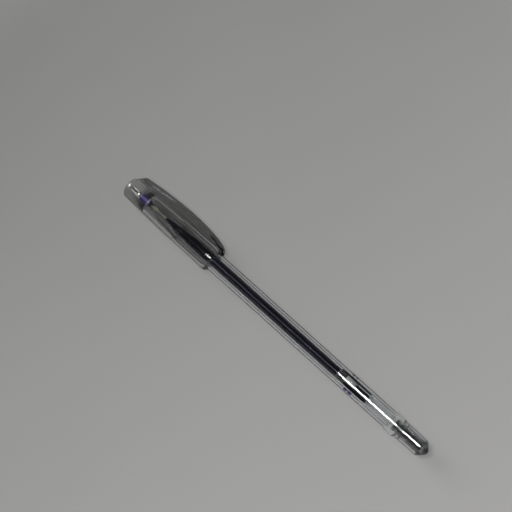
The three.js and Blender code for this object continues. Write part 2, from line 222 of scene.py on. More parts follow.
class Graph:
    """Adds nodes to one tree, for a material, the world or a shape."""

    def __init__(self, tree):
        self.tree = tree

    def add(self, kind, settings=None, inputs=None, output=0):
        node = self.tree.nodes.new(kind)
        for name, value in (settings or {}).items():
            setattr(node, name, value)
        for key, value in (inputs or {}).items():
            self.feed(pick(node.inputs, key), value)
        return Value(self, pick(node.outputs, output)) if node.outputs else None

    def feed(self, socket, value):
        if isinstance(value, Value):
            self.tree.links.new(value.socket, socket)
        else:
            socket.default_value = value

    def maths(self, operation, *values):
        return self.add("ShaderNodeMath", {"operation": operation}, dict(enumerate(values)))

    def vector(self, operation, *values):
        output = "Value" if operation == "LENGTH" else "Vector"
        return self.add("ShaderNodeVectorMath", {"operation": operation}, dict(enumerate(values)), output)

    def mix(self, share, first, second):
        return self.add("ShaderNodeMix", {"data_type": "RGBA"},
                        {"Factor": share, "A": first, "B": second}, "Result")

    def between(self, value, start, end, low=0.0, high=1.0):
        return self.add("ShaderNodeMapRange", {"interpolation_type": "SMOOTHSTEP"},
                        {"Value": value, "From Min": start, "From Max": end, "To Min": low, "To Max": high})

    def noise(self, place, scale, detail=3.0, roughness=0.5):
        return self.add("ShaderNodeTexNoise", {},
                        {"Vector": place, "Scale": scale, "Detail": detail, "Roughness": roughness}, "Fac")

    def bump(self, height, distance):
        return self.add("ShaderNodeBump", {},
                        {"Strength": 1.0, "Distance": distance, "Height": height}, "Normal")


# Materials

class Material(Graph):
    """A material's nodes, with the place on the pen to draw on."""

    def __init__(self, name):
        self.material = bpy.data.materials.new(name)
        self.material.use_nodes = True
        super().__init__(self.material.node_tree)
        self.tree.nodes.clear()

    def place(self):
        return self.add("ShaderNodeTexCoord", output="Object")

    def along_and_out(self):
        """Metres along the axis, and distance from it."""
        centred = self.vector("SUBTRACT", self.place(), (FRONT, AXIS_SIDE, AXIS_HEIGHT))
        along = self.add("ShaderNodeSeparateXYZ", {}, {0: centred}, "X")
        side, height = along.also("Y"), along.also("Z")
        return along, (side * side + height * height).maths("SQRT")

    def surface(self, lit_through=None, **sockets):
        """Ends the material.

        With a colour in lit_through, lamps shine through the piece and take that tint.
        """
        named = {name.replace("_", " "): value for name, value in sockets.items()}
        named = {SOCKET_NAMES.get(name, name): value for name, value in named.items()}
        shader = self.add("ShaderNodeBsdfPrincipled", {}, named)
        if lit_through:
            lamps = self.add("ShaderNodeLightPath", output="Is Shadow Ray")
            open_way = self.add("ShaderNodeBsdfTransparent", {}, {"Color": (*lit_through, 1)})
            shader = self.add("ShaderNodeMixShader", {}, {0: lamps, 1: shader, 2: open_way})
        self.add("ShaderNodeOutputMaterial", {}, {"Surface": shader})
        return self.material


SOCKET_NAMES = {
    "color": "Base Color", "roughness": "Roughness", "metallic": "Metallic", "ior": "IOR", "alpha": "Alpha",
    "normal": "Normal", "transmission": "Transmission Weight", "specular": "Specular IOR Level",
    "scatter": "Subsurface Weight", "scatter radius": "Subsurface Radius",
    "scatter scale": "Subsurface Scale",
}


def moulded_clear(name, tint, darker, ior=1.5, haze=0.008, flow=1.0, rim=0.35, rim_range=(0.5, 0.85),
                  unshaded_band=None):
    """Polished clear plastic with faint flow lines along the pen, a little haze and fine scuffs.

    Where it is seen edge-on its colour darkens to the share in rim: painted shade for the dark outlines
    that the shadowed table round the pen gives. Between the two stations of the last argument this painted
    shade is left off, and it stays pale.
    """
    made = Material(name)
    facing = made.add("ShaderNodeLayerWeight", {}, {"Blend": 0.5}, "Facing")
    # Painted shade: the colour darkens where the surface is seen edge-on, for dark outlines.
    edge = made.between(facing, *rim_range)
    if unshaded_band:
        along, _ = made.along_and_out()
        edge = edge * (1 - (along > unshaded_band[0] * MM) * (along < unshaded_band[1] * MM))
    stretched = made.vector("MULTIPLY", made.place(), (0.12, 1.0, 1.0))
    flow_lines = made.noise(stretched, 900, 3.0)
    scuffs = made.noise(made.vector("MULTIPLY", made.place(), (1.0, 0.25, 0.25)), 5200, 4.0, 0.7)
    cloud = made.noise(made.place(), 160, 2.0)
    worn = made.between(scuffs, 0.58, 0.8)
    height = flow_lines * 0.7 + worn * 0.1
    # A wall has two faces, so a lamp's light takes the root of the tint at each
    return made.surface(
        lit_through=tuple(0.98 * channel ** 0.5 for channel in tint),
        color=made.mix(edge, made.mix(made.between(cloud, 0.35, 0.7), (*tint, 1), (*darker, 1)),
                       (*(channel * rim for channel in tint), 1)),
        roughness=haze + worn * 0.03,
        transmission=1.0, ior=ior,
        normal=made.bump(height, 0.000003 * flow))


# In these plastics rim and rim_range set how dark the painted edge shade goes and where.
def clear_plastic():
    return moulded_clear("clear_barrel_plastic", (0.93, 0.945, 0.95), (0.9, 0.92, 0.93),
                         haze=0.004, flow=0.2, rim=0.04, rim_range=(0.42, 0.66),
                         unshaded_band=(BEAD_START, BEAD_END + 0.1))


def clear_nose_plastic():
    return moulded_clear("clear_nose_plastic", (0.93, 0.94, 0.94), (0.9, 0.91, 0.92),
                         ior=1.25, flow=0.3, rim=0.7)


def smoky_plastic():
    return moulded_clear("smoky_cap_plastic", (0.68, 0.68, 0.68), (0.64, 0.64, 0.64), flow=0.3,
                         rim=0.05, rim_range=(0.48, 0.74))


def smoky_clip_plastic():
    """The cap's smoke plastic in a darker tint, partly for the longer way through the blade along its width
    and partly as painted shade for the shadow under the clip.
    """
    return moulded_clear("smoky_clip_plastic", (0.46, 0.46, 0.455), (0.38, 0.38, 0.38), flow=0.3,
                         rim=0.25, rim_range=(0.5, 0.8))


def milky_plastic():
    return moulded_clear("milky_tube_plastic", (0.88, 0.88, 0.9), (0.84, 0.84, 0.87),
                         ior=1.49, haze=0.02, flow=0.2, rim=0.6)


def milky_adapter_plastic():
    return moulded_clear("milky_adapter_plastic", (0.9, 0.9, 0.92), (0.86, 0.86, 0.89),
                         ior=1.3, haze=0.02, flow=0.2, rim=0.7)


def dark_plastic():
    """Dark smoke plastic of the tail plug.

    It lets a little light through. Its colour darkens along the middle and at the tip, and, as painted shade
    for a dark outline, at the sides.
    """
    made = Material("dark_tail_plastic")
    along, _ = made.along_and_out()
    swirl = made.noise(made.vector("MULTIPLY", made.place(), (0.3, 1.0, 1.0)), 1100, 3.0)
    scuffs = made.noise(made.place(), 6000, 4.0, 0.7)
    worn = made.between(scuffs, 0.55, 0.8)
    facing = made.add("ShaderNodeLayerWeight", {}, {"Blend": 0.5}, "Facing")
    tip = made.between(along, (HEAD_END - 2.2) * MM, (HEAD_END - 0.9) * MM)
    middle = made.between(facing, 0.0, 0.25, 1.0, 0.0)
    rim = made.between(facing, 0.6, 0.9)
    # Darker along the middle and at the tip; the darkening at the sides (rim) is painted shade.
    shade = tip.maths("MAXIMUM", middle.maths("MAXIMUM", rim))
    depth = made.mix(swirl, (0.72, 0.72, 0.73, 1), (0.62, 0.62, 0.63, 1))
    return made.surface(
        lit_through=(0.6, 0.6, 0.6),
        color=made.mix(shade, depth, (0.06, 0.06, 0.065, 1)),
        roughness=0.05 + worn * 0.06, transmission=1.0, ior=1.5,
        normal=made.bump(swirl * 0.6 + worn * 0.2, 0.000001))


def label_film():
    """Thin clear film with a faint white haze, a little cloudier at its cut edges."""
    made = Material("label_film")
    along, _ = made.along_and_out()
    from_start = along - LABEL_START * MM
    from_end = LABEL_END * MM - along
    edge = made.between(from_start.maths("MINIMUM", from_end), 0.0, 0.35 * MM, 1.0, 0.0)
    grain = made.noise(made.place(), 2600, 4.0, 0.6)
    return made.surface(
        color=(0.8, 0.81, 0.83, 1),
        roughness=0.18 + grain * 0.12,
        alpha=0.005 + edge * 0.12 + grain * 0.02,
        normal=made.bump(grain, 0.000008))


def print_ink(name, tone):
    made = Material(name)
    grain = made.noise(made.place(), 9000, 3.0, 0.7)
    lighter = tuple(channel * 1.5 + 0.002 for channel in tone)
    return made.surface(
        color=made.mix(made.between(grain, 0.45, 0.75), (*tone, 1), (*lighter, 1)),
        roughness=0.16 + grain * 0.06,
        specular=0.2,
        normal=made.bump(grain, 0.000004))


def ballpoint_ink():
    """Blue-black paste that wets the tube: almost black, violet where it thins."""
    made = Material("ballpoint_ink")
    streaks = made.noise(made.vector("MULTIPLY", made.place(), (0.08, 1.0, 1.0)), 1500, 3.0)
    thinner = made.between(streaks, 0.3, 0.75)
    return made.surface(
        color=made.mix(thinner, (0.002, 0.0015, 0.005, 1), (0.005, 0.003, 0.014, 1)),
        roughness=0.16 + streaks * 0.08,
        specular=0.12,
        normal=made.bump(streaks, 0.00001))


def follower_grease():
    made = Material("follower_grease")
    cloud = made.noise(made.place(), 1400, 3.0)
    return made.surface(
        color=made.mix(cloud, (0.74, 0.74, 0.7, 1), (0.6, 0.6, 0.56, 1)),
        roughness=0.2 + cloud * 0.1,
        transmission=0.45, ior=1.45,
        normal=made.bump(cloud, 0.00003))


def blue_elastomer():
    made = Material("blue_seal_elastomer")
    grain = made.noise(made.place(), 5000, 4.0, 0.6)
    return made.surface(
        color=made.mix(grain, (0.014, 0.01, 0.075, 1), (0.024, 0.017, 0.12, 1)),
        roughness=0.38 + grain * 0.12,
        scatter=0.15, scatter_radius=(0.2, 0.2, 1.0), scatter_scale=0.0006,
        normal=made.bump(grain, 0.00001))


def nickel_silver():
    """Turned metal with the lathe's fine rings and a slightly olive cast."""
    made = Material("turned_nickel_silver")
    along, out = made.along_and_out()
    across_rings = made.add("ShaderNodeCombineXYZ", {}, {"X": along * 40.0, "Y": out * 8.0})
    rings = made.noise(across_rings, 900, 2.0)
    tarnish = made.between(made.noise(made.place(), 900, 3.0), 0.4, 0.7)
    return made.surface(
        color=made.mix(tarnish, (0.14, 0.145, 0.115, 1), (0.11, 0.115, 0.085, 1)),
        metallic=1.0,
        roughness=0.42 + rings * 0.2,
        normal=made.bump(rings, 0.000006))


def carbide():
    made = Material("polished_carbide")
    grain = made.noise(made.place(), 16000, 3.0)
    return made.surface(
        color=made.mix(grain, (0.56, 0.56, 0.58, 1), (0.66, 0.66, 0.67, 1)),
        metallic=1.0,
        roughness=0.06 + grain * 0.08,
        normal=made.bump(grain, 0.000001))


# Profiles of turned pieces: lists of (station, radius)

def stretch(start, end, radius_at, steps=24):
    return [(start + (end - start) * step / steps, radius_at(step / steps)) for step in range(steps + 1)]


def ridge(start, end, low, high):
    """A rounded ring that stands out from low to high."""
    def radius_at(share):
        return low + (high - low) * math.sin(math.pi * share) ** RIDGE_POWER
    return stretch(start, end, radius_at)


def shoulder(face, side, low, high, steps=20):
    """A quarter of an ellipse from a flat end face to a side."""
    turns = [math.pi / 2 * step / steps for step in range(steps + 1)]
    return [(side + (face - side) * math.cos(turn), low + (high - low) * math.sin(turn)) for turn in turns]


def tube_profile(start, end, inner, outer):
    return [(start, inner), (start, outer), (end, outer), (end, inner)]


def soften(points, fillet, closed=True):
    """Rounds the corners of a profile and keeps the stretches between them straight."""
    apart = [point for last, point in zip(points, points[1:]) if math.dist(last, point) > 1e-6]
    points = [points[0]] + apart
    count = len(points)
    softened = []
    for index, point in enumerate(points):
        here = Vector(point)
        if not closed and index in (0, count - 1):
            softened.append(tuple(here))
            continue
        before = Vector(points[index - 1]) - here
        after = Vector(points[(index + 1) % count]) - here
        turn = math.pi - before.angle(after)
        if turn < LEAST_CORNER:
            softened.append(tuple(here))
            continue
        reach = min(fillet * math.tan(turn / 2), CORNER_SHARE * before.length, CORNER_SHARE * after.length)
        start = here + before.normalized() * reach
        end = here + after.normalized() * reach
        softened.append(tuple(start + before.normalized() * reach * CORNER_LEAD))
        for step in range(CORNER_STEPS + 1):
            share = step / CORNER_STEPS
            curve = start * (1 - share) ** 2 + here * 2 * share * (1 - share) + end * share ** 2
            softened.append(tuple(curve))
        softened.append(tuple(end + after.normalized() * reach * CORNER_LEAD))
    return softened + softened[:1] if closed else softened


# Shapes

def shape_tree(name, inputs):
    """A Geometry Nodes tree with one shape in and out, and named inputs."""
    tree = bpy.data.node_groups.new(name, "GeometryNodeTree")
    tree.interface.new_socket("Geometry", in_out="INPUT", socket_type="NodeSocketGeometry")
    for label, kind in inputs.items():
        tree.interface.new_socket(label, in_out="INPUT", socket_type="NodeSocket" + kind)
    tree.interface.new_socket("Geometry", in_out="OUTPUT", socket_type="NodeSocketGeometry")
    graph = Graph(tree)
    given = graph.add("NodeGroupInput")
    return graph, {label: given.also(label) for label in ("Geometry", *inputs)}


def finish_tree(graph, shape, material):
    """Ends a tree: copies become real, and the material is set."""
    real = graph.add("GeometryNodeRealizeInstances", {}, {"Geometry": shape})
    dressed = graph.add("GeometryNodeSetMaterial", {}, {"Geometry": real, "Material": material})
    graph.add("NodeGroupOutput", {}, {"Geometry": dressed})
    return graph.tree


def turning_tree():
    """Turns a profile, whose points are (place along the pen, radius), round the pen's axis."""
    graph, given = shape_tree("turn_on_the_axis", {
        "Sides": "Int", "Axis Side": "Float", "Axis Height": "Float", "Weld": "Float",
        "Material": "Material"})
    count = graph.add("GeometryNodeAttributeDomainSize", {"component": "MESH"},
                      {"Geometry": given["Geometry"]}, "Point Count")
    grid = graph.add("GeometryNodeMeshGrid", {},
                     {"Vertices X": given["Sides"] + 1, "Vertices Y": count}, "Mesh")
    index = graph.add("GeometryNodeInputIndex")
    row = index % count
    column = (index - row) / count
    profile = graph.add("GeometryNodeSampleIndex", {"data_type": "FLOAT_VECTOR"}, {
        "Geometry": given["Geometry"], "Value": graph.add("GeometryNodeInputPosition"), "Index": row})
    station = graph.add("ShaderNodeSeparateXYZ", {}, {0: profile}, "X")
    radius = station.also("Y")
    angle = column * math.tau / given["Sides"]
    place = graph.add("ShaderNodeCombineXYZ", {}, {
        "X": station,
        "Y": given["Axis Side"] + radius * angle.maths("SINE"),
        "Z": given["Axis Height"] + radius * angle.maths("COSINE")})
    turned_grid = graph.add("GeometryNodeSetPosition", {}, {"Geometry": grid, "Position": place})
    welded = graph.add("GeometryNodeMergeByDistance", {},
                       {"Geometry": turned_grid, "Distance": given["Weld"]})
    smooth = graph.add("GeometryNodeSetShadeSmooth", {}, {"Geometry": welded})
    return finish_tree(graph, smooth, given["Material"])


def print_tree():
    """Wraps flat patches on the film as thin raised prints.

    The patches are drawn as (place along the pen, distance round it).
    """
    graph, given = shape_tree("wrap_on_the_film", {
        "Radius": "Float", "Thickness": "Float", "Turn": "Float",
        "Axis Side": "Float", "Axis Height": "Float", "Material": "Material"})
    along = graph.add("ShaderNodeSeparateXYZ", {}, {0: graph.add("GeometryNodeInputPosition")}, "X")
    angle = along.also("Y") / given["Radius"] + given["Turn"]
    place = graph.add("ShaderNodeCombineXYZ", {}, {
        "X": along,
        "Y": given["Axis Side"] + given["Radius"] * angle.maths("SINE"),
        "Z": given["Axis Height"] + given["Radius"] * angle.maths("COSINE")})
    wrapped = graph.add("GeometryNodeSetPosition", {}, {"Geometry": given["Geometry"], "Position": place})
    raised = graph.add("GeometryNodeExtrudeMesh", {"mode": "FACES"}, {
        "Mesh": wrapped, "Offset Scale": given["Thickness"], "Individual": False})
    underside = graph.add("GeometryNodeFlipFaces", {}, {"Mesh": wrapped})
    joined = graph.add("GeometryNodeJoinGeometry")
    for shape in (raised, underside):
        graph.tree.links.new(shape.socket, joined.socket.node.inputs[0])
    welded = graph.add("GeometryNodeMergeByDistance", {}, {"Geometry": joined, "Distance": 1e-6})
    return finish_tree(graph, welded, given["Material"])


def grow(name, mesh, tree, inputs):
    """Runs a tree on a starting mesh and returns the plain object that it makes."""
    seed = bpy.data.objects.new(name + "_start", mesh)
    bpy.context.scene.collection.objects.link(seed)
    modifier = seed.modifiers.new("grow", "NODES")
    modifier.node_group = tree
    for item in tree.interface.items_tree:
        if item.in_out == "INPUT" and item.name in inputs:
            modifier[item.identifier] = inputs[item.name]
    grown = bpy.data.meshes.new_from_object(seed.evaluated_get(bpy.context.evaluated_depsgraph_get()))
    bpy.data.objects.remove(seed)
    return add_object(name, grown)


def add_object(name, mesh):
    mesh.name = name
    made = bpy.data.objects.new(name, mesh)
    bpy.context.scene.collection.objects.link(made)
    return made


def tidy(piece):
    """Welds doubles and points the faces outwards."""
    shape = bmesh.new()
    shape.from_mesh(piece.data)
    bmesh.ops.remove_doubles(shape, verts=shape.verts, dist=1e-7)
    bmesh.ops.recalc_face_normals(shape, faces=shape.faces)
    shape.to_mesh(piece.data)
    shape.free()
    piece.data.update()
    return piece


def outline_mesh(name, points):
    mesh = bpy.data.meshes.new(name + "_profile")
    edges = [(index, index + 1) for index in range(len(points) - 1)]
    mesh.from_pydata([(FRONT + station * MM, radius * MM, 0) for station, radius in points], edges, [])
    return mesh


def turned(name, points, material, sides=TURN_SIDES):
    """A turned piece from its profile."""
    made = grow(name, outline_mesh(name, points), TURNING, {
        "Sides": sides, "Axis Side": AXIS_SIDE, "Axis Height": AXIS_HEIGHT, "Weld": 2e-7,
        "Material": material})
    return tidy(made)


def place_piece(piece, body, slot, *nodes):
    """Says what a finished piece rides on and the nodes that it stands for; the finish slot is not used."""
    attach(piece, body)
    if nodes:
        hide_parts(*nodes)


# Barrel

def barrel_tube(material):
    points = [
        (0, BORE_RADIUS),
        (0, BARREL_RADIUS - RIM_CHAMFER),
        (RIM_CHAMFER, BARREL_RADIUS),
        (BEAD_START - BEAD_FOOT, BARREL_RADIUS),
        *shoulder(BEAD_START, BEAD_START + BEAD_SHOULDER, BARREL_RADIUS, BEAD_RADIUS),
        *reversed(shoulder(BEAD_END, BEAD_END - BEAD_SHOULDER, BARREL_RADIUS, BEAD_RADIUS)),
        (BEAD_END + NECK_STEP, NECK_RADIUS),
        (BEAD_END + NECK_FLAT, NECK_RADIUS),
        *ridge(RING_START, RING_END, NECK_RADIUS, RING_RADIUS),
        (RING_END + SLEEVE_GAP, NECK_RADIUS),
        (RING_END + SLEEVE_STEP, SLEEVE_FRONT_RADIUS),
        (BARREL_LENGTH, SLEEVE_REAR_RADIUS),
        (BARREL_LENGTH, BORE_RADIUS),
    ]
    return turned("clear_barrel", soften(points, fillet=0.12), material)


def label(material):
    points = tube_profile(LABEL_START, LABEL_END, FILM_INNER, FILM_OUTER)
    return turned("printed_film", soften(points, fillet=0.03), material)


def tail_plug(material):
    """The plug: a stem with two ribs, and a head that narrows to a small flat."""
    def head(share):
        return SLEEVE_REAR_RADIUS - (SLEEVE_REAR_RADIUS - HEAD_FLAT_RADIUS) * share ** HEAD_POWER

    ribs = []
    for rib_end in RIB_ENDS:
        ribs += ridge(rib_end - RIB_WIDTH, rib_end, STEM_RADIUS, RIB_RADIUS)
    points = [
        (STEM_START, 0),
        (STEM_START, STEM_RADIUS),
        *ribs,
        (HEAD_START, STEM_RADIUS),
        *stretch(HEAD_START, HEAD_END, head),
        (HEAD_END, 0),
    ]
    return turned("tail_plug_dark", soften(points, fillet=0.25, closed=False), material)


# Nose and refill

def nose_cone(material):
    rise = NOSE_REAR_RADIUS - NOSE_FRONT_RADIUS

    def cone(share):
        return NOSE_FRONT_RADIUS + rise * share + NOSE_BULGE * math.sin(math.pi * share)

    points = [
        (NOSE_FRONT, NOSE_HOLE_RADIUS),
        *stretch(NOSE_FRONT, NOSE_CONE_END, cone),
        (NOSE_CONE_END, NOSE_COLLAR_RADIUS),
        (NOSE_COLLAR_END, NOSE_COLLAR_RADIUS),
        (NOSE_COLLAR_END, NOSE_SPIGOT_RADIUS),
        (NOSE_SPIGOT_END, NOSE_SPIGOT_RADIUS),
        (NOSE_SPIGOT_END, NOSE_TUBE_BORE),
        (HOLDER_COLLAR - STEP_GAP, NOSE_TUBE_BORE),
        (HOLDER_NECK_END, NOSE_NECK_BORE),
        (TIP_SHOULDER, NOSE_NECK_BORE),
        (TIP_SHOULDER, NOSE_HOLE_RADIUS),
    ]
    return turned("clear_nose_cone", soften(points, fillet=0.1), material)


def nib_holder(material):
    points = [
        (HOLDER_FRONT, SHANK_HOLE_RADIUS),
        (HOLDER_FRONT, HOLDER_FRONT_RADIUS),
        (HOLDER_NECK_END, HOLDER_FRONT_RADIUS),
        (HOLDER_COLLAR, TUBE_RADIUS),
        (HOLDER_COLLAR_END, TUBE_RADIUS),
        (HOLDER_COLLAR_END, HOLDER_SPIGOT_RADIUS),
        (HOLDER_END, HOLDER_SPIGOT_RADIUS),
        (HOLDER_END, HOLDER_SPIGOT_BORE),
        (HOLDER_COLLAR_END, HOLDER_SPIGOT_BORE),
        (HOLDER_COLLAR, CHAMBER_REAR_RADIUS),
        (CHAMBER_START, CHAMBER_FRONT_RADIUS),
        (TIP_SHANK_END + STEP_GAP, SHANK_HOLE_RADIUS),
    ]
    return turned("nib_adapter", soften(points, fillet=0.08), material)


def writing_tip(material):
    """The turned tip: a cone with two cut grooves behind its crimped mouth, a collar and a shank."""
    cone_length = TIP_CONE_END - TIP_MOUTH
    outer = TIP_MOUTH_RADIUS + TIP_WALL
    grooves = []
    for share in GROOVE_SHARES:
        station = TIP_MOUTH + cone_length * share
        radius = outer + (TIP_BODY_RADIUS - outer) * share
        grooves += [
            (station - GROOVE_REACH, radius - GROOVE_FRONT_CUT),
            (station, radius - GROOVE_CUT),
            (station + GROOVE_REACH, radius + GROOVE_LIP),
        ]
    points = [
        (TIP_MOUTH, TIP_MOUTH_RADIUS),
        (TIP_MOUTH, outer),
        *grooves,
        (TIP_CONE_END, TIP_BODY_RADIUS),
        (TIP_SHOULDER, TIP_BODY_RADIUS),
        (TIP_SHOULDER, TIP_SHANK_RADIUS),
        (TIP_SHANK_END, TIP_SHANK_RADIUS),
        (TIP_SHANK_END, TIP_BORE_RADIUS),
        (BALL_CENTRE + SEAT_DEPTH, TIP_BORE_RADIUS),
        (BALL_CENTRE + SOCKET_RADIUS, SOCKET_RADIUS),
        (BALL_CENTRE, SOCKET_RADIUS),
    ]
    return turned("turned_tip", soften(points, fillet=0.04), material, TIP_SIDES)


def tip_ball(material):
    arc = [math.pi * step / BALL_STEPS for step in range(BALL_STEPS + 1)]
    points = [(BALL_CENTRE - BALL_RADIUS * math.cos(turn), BALL_RADIUS * math.sin(turn)) for turn in arc]
    points[0], points[-1] = (points[0][0], 0), (points[-1][0], 0)
    return turned("carbide_ball", points, material, BALL_SIDES)


def ink_tube(material):
    points = tube_profile(TUBE_START, TUBE_END, TUBE_BORE, TUBE_RADIUS)
    return turned("refill_tube", soften(points, fillet=0.07), material)


def ink_column(material):
    """Ink in the adapter's chamber and in the tube, wetting both, with a curved end."""
    points = [
        (CHAMBER_START + INK_START_GAP, 0),
        (CHAMBER_START + INK_START_GAP, CHAMBER_FRONT_RADIUS + WETTED),
        (HOLDER_COLLAR, CHAMBER_REAR_RADIUS + WETTED),
        (HOLDER_COLLAR_END, HOLDER_SPIGOT_BORE + WETTED),
        (HOLDER_END + STEP_GAP, HOLDER_SPIGOT_BORE + WETTED),
        (HOLDER_END + STEP_GAP, TUBE_BORE + WETTED),
        (INK_END, TUBE_BORE + WETTED),
        *meniscus(INK_END, TUBE_BORE + WETTED),
    ]
    return turned("ink_fill", soften(points, fillet=0.06, closed=False), material)


def meniscus(station, radius, steps=12):
    """A hollow end: deepest on the axis, from the rim inwards."""
    shares = [1 - step / steps for step in range(1, steps + 1)]
    return [(station - MENISCUS_DEPTH * (1 - share ** 2), radius * share) for share in shares]


def grease_follower(material):
    start = INK_END + GREASE_GAP
    end = start + GREASE_LENGTH
    radius = TUBE_BORE + WETTED
    points = [*reversed(meniscus(start, radius)), (start, radius), (end, radius), *meniscus(end, radius)]
    return turned("grease_slug", points, material)


# Cap

def cap_profile():
    """The cap from its crown to its mouth, and back through the bore to the fine hole in the crown."""
    def flare(share):
        return CAP_BODY_RADIUS + (CAP_BEAD_RADIUS - CAP_BODY_RADIUS) * share ** 2

    return soften([
        (CAP_CROWN, 0),
        *shoulder(CAP_CROWN, CAP_CROWN + CROWN_ROUNDING, CROWN_FLAT_RADIUS, CROWN_RADIUS),
        (CAP_WAIST, CAP_WAIST_RADIUS),
        *stretch(CAP_FLARE_START, CAP_BEAD, flare),
        *reversed(shoulder(CAP_MOUTH, CAP_BEAD, CAP_LIP_RADIUS, CAP_BEAD_RADIUS)),
        (CAP_MOUTH, CAP_BORE),
        (CAP_STOP, CAP_BORE),
        (CAP_STOP, CAP_STOP_RADIUS),
        *reversed(shoulder(CAVITY_FLOOR, CAVITY_FLOOR + CAVITY_BEVEL,
                           CAVITY_RADIUS - CAVITY_BEVEL, CAVITY_RADIUS)),
        (CAVITY_FLOOR, POCKET_RADIUS),
        *reversed(shoulder(POCKET_END - POCKET_DOME, POCKET_END, RELIEF_RADIUS, POCKET_RADIUS)),
        (RELIEF_START, RELIEF_RADIUS),
        (RELIEF_START, 0),
    ], fillet=0.15, closed=False)


def clip_frame():
    """Turns (along the pen, across the clip, height over the axis) into the drooping clip's place."""
    place = Matrix.Translation((FRONT, AXIS_SIDE, AXIS_HEIGHT))
    across_to_up = Matrix.Rotation(-math.pi / 2 - CLIP_DROOP, 4, "X")
    return place @ across_to_up @ Matrix.Scale(MM, 4)


def clip_seat():
    """The saddle on the crown that the clip grows from, with sides that slope into the crown."""
    half = CLIP_WIDTH / 2 - CLIP_EDGE
    outline = [
        (-half - CLIP_SEAT_SPREAD, CLIP_SEAT_LOW), (-half, CLIP_SEAT_HEIGHT),
        (half, CLIP_SEAT_HEIGHT), (half + CLIP_SEAT_SPREAD, CLIP_SEAT_LOW),
    ]
    seat = bmesh.new()
    rings = []
    for station in (CLIP_ROOT_START, CLIP_ROOT_END):
        rings.append([seat.verts.new((station, across, height)) for across, height in outline])
    seat.faces.new(rings[0])
    seat.faces.new(reversed(rings[1]))
    for index in range(4):
        following = (index + 1) % 4
        seat.faces.new([rings[0][index], rings[1][index], rings[1][following], rings[0][following]])
    seat.transform(clip_frame())
    mesh = bpy.data.meshes.new("clip_seat")
    seat.to_mesh(mesh)
    seat.free()
    return tidy(add_object("clip_seat", mesh))


def cap_shell(material):
    """The turned cap with the clip's seat fused to it."""
    shell = turned("smoky_cap", cap_profile(), material)
    seat = clip_seat()
    seat.data.materials.append(material)
    union = shell.modifiers.new("seat", "BOOLEAN")
    union.operation = "UNION"
    union.solver = "EXACT"
    union.object = seat
    fused = bpy.data.meshes.new_from_object(shell.evaluated_get(bpy.context.evaluated_depsgraph_get()))
    shell.modifiers.clear()
    shell.data = fused
    bpy.data.objects.remove(seat)
    fused.set_sharp_from_angle(angle=math.radians(38))
    return shell


def seal_plug(material):
    points = [
        (SEAL_STEM_START, 0),
        (SEAL_STEM_START, POCKET_RADIUS + WETTED),
        (CAVITY_FLOOR - WETTED, POCKET_RADIUS + WETTED),
        (CAVITY_FLOOR - WETTED, SEAL_FLANGE_RADIUS),
        (SEAL_FACE, SEAL_FLANGE_RADIUS),
        (SEAL_FACE - SEAL_CUP_SLOPE, SEAL_CUP_RADIUS),
        (SEAL_FACE - SEAL_CUP_DEPTH, 0),
    ]
    return turned("seal_plug_blue", soften(points, fillet=0.12, closed=False), material)


def clip_outer(station):
    """Height of the clip's outer face over the axis."""
    if station < CLIP_CREST:
        share = (CLIP_CREST - station) / (CLIP_CREST - CLIP_ROOT_START)
        slope = min(1, (station - CLIP_ROOT_START) / CLIP_FOOT_SLOPE)
        full = CLIP_CREST_HEIGHT - CLIP_ROOT_RISE * share ** CLIP_ROOT_POWER
        return CLIP_FOOT_HEIGHT + (full - CLIP_FOOT_HEIGHT) * slope
    share = (station - CLIP_CREST) / (CLIP_TIP - CLIP_CREST)
    fall = max(0, 1 - share ** CLIP_NOSE_POWER) ** (1 / CLIP_NOSE_POWER)
    return CLIP_NOSE_HEIGHT + (CLIP_CREST_HEIGHT - CLIP_NOSE_HEIGHT) * fall


def clip_inner(station):
    """Height of the clip's underside: foot, arch, and the pad that grips a pocket."""
    def arch(place):
        share = max(0, (CLIP_THIN - place) / (CLIP_THIN - CLIP_ARCH_START))
        return clip_outer(place) - CLIP_THICKNESS - CLIP_ROOT_EXTRA * share ** CLIP_ROOT_POWER

    corners = [
        (CLIP_ROOT_START, CLIP_FOOT_HEIGHT), (CLIP_ROOT_END, CLIP_FOOT_HEIGHT),
        (CLIP_ARCH_START, arch(CLIP_ARCH_START)), (CLIP_ARCH_END, arch(CLIP_ARCH_END)),
        (CLIP_PAD_START, CLIP_PAD_HEIGHT), (CLIP_PAD_END, CLIP_PAD_HEIGHT),
        (CAP_MOUTH, CLIP_NOSE_HEIGHT), (CLIP_TIP, CLIP_NOSE_HEIGHT),
    ]
    if CLIP_ARCH_START < station < CLIP_ARCH_END:
        return arch(station)
    for (start, low), (end, high) in zip(corners, corners[1:]):
        if start <= station <= end:
            return low + (high - low) * (station - start) / (end - start)
    return CLIP_NOSE_HEIGHT


def clip_section(station):
    """One rounded section across the clip: (across, height) points."""
    top, bottom = clip_outer(station), clip_inner(station)
    share = max(0, (station - CLIP_CREST) / (CLIP_TIP - CLIP_CREST))
    half = CLIP_WIDTH / 2 * (1 - (1 - CLIP_TIP_WIDTH / CLIP_WIDTH) * share ** 2)
    thickness = max(top - bottom, 0)
    edge = min(CLIP_EDGE, CLIP_EDGE_SHARE * thickness)
    crown = CLIP_CAMBER * min(1, thickness)
    upper, lower = top - edge - crown, bottom + edge
    section = []
    for side, level, first in ((1, upper, 0), (-1, upper, 90), (-1, lower, 180), (1, lower, 270)):
        for step in range(5):
            turn = math.radians(first + 90 * step / 4)
            section.append((side * (half - edge) + edge * math.cos(turn), level + edge * math.sin(turn)))
        if first == 0:
            for across in (0.6, 0.2, -0.2, -0.6):
                section.append((half * across, top - crown * across ** 2))
    return section


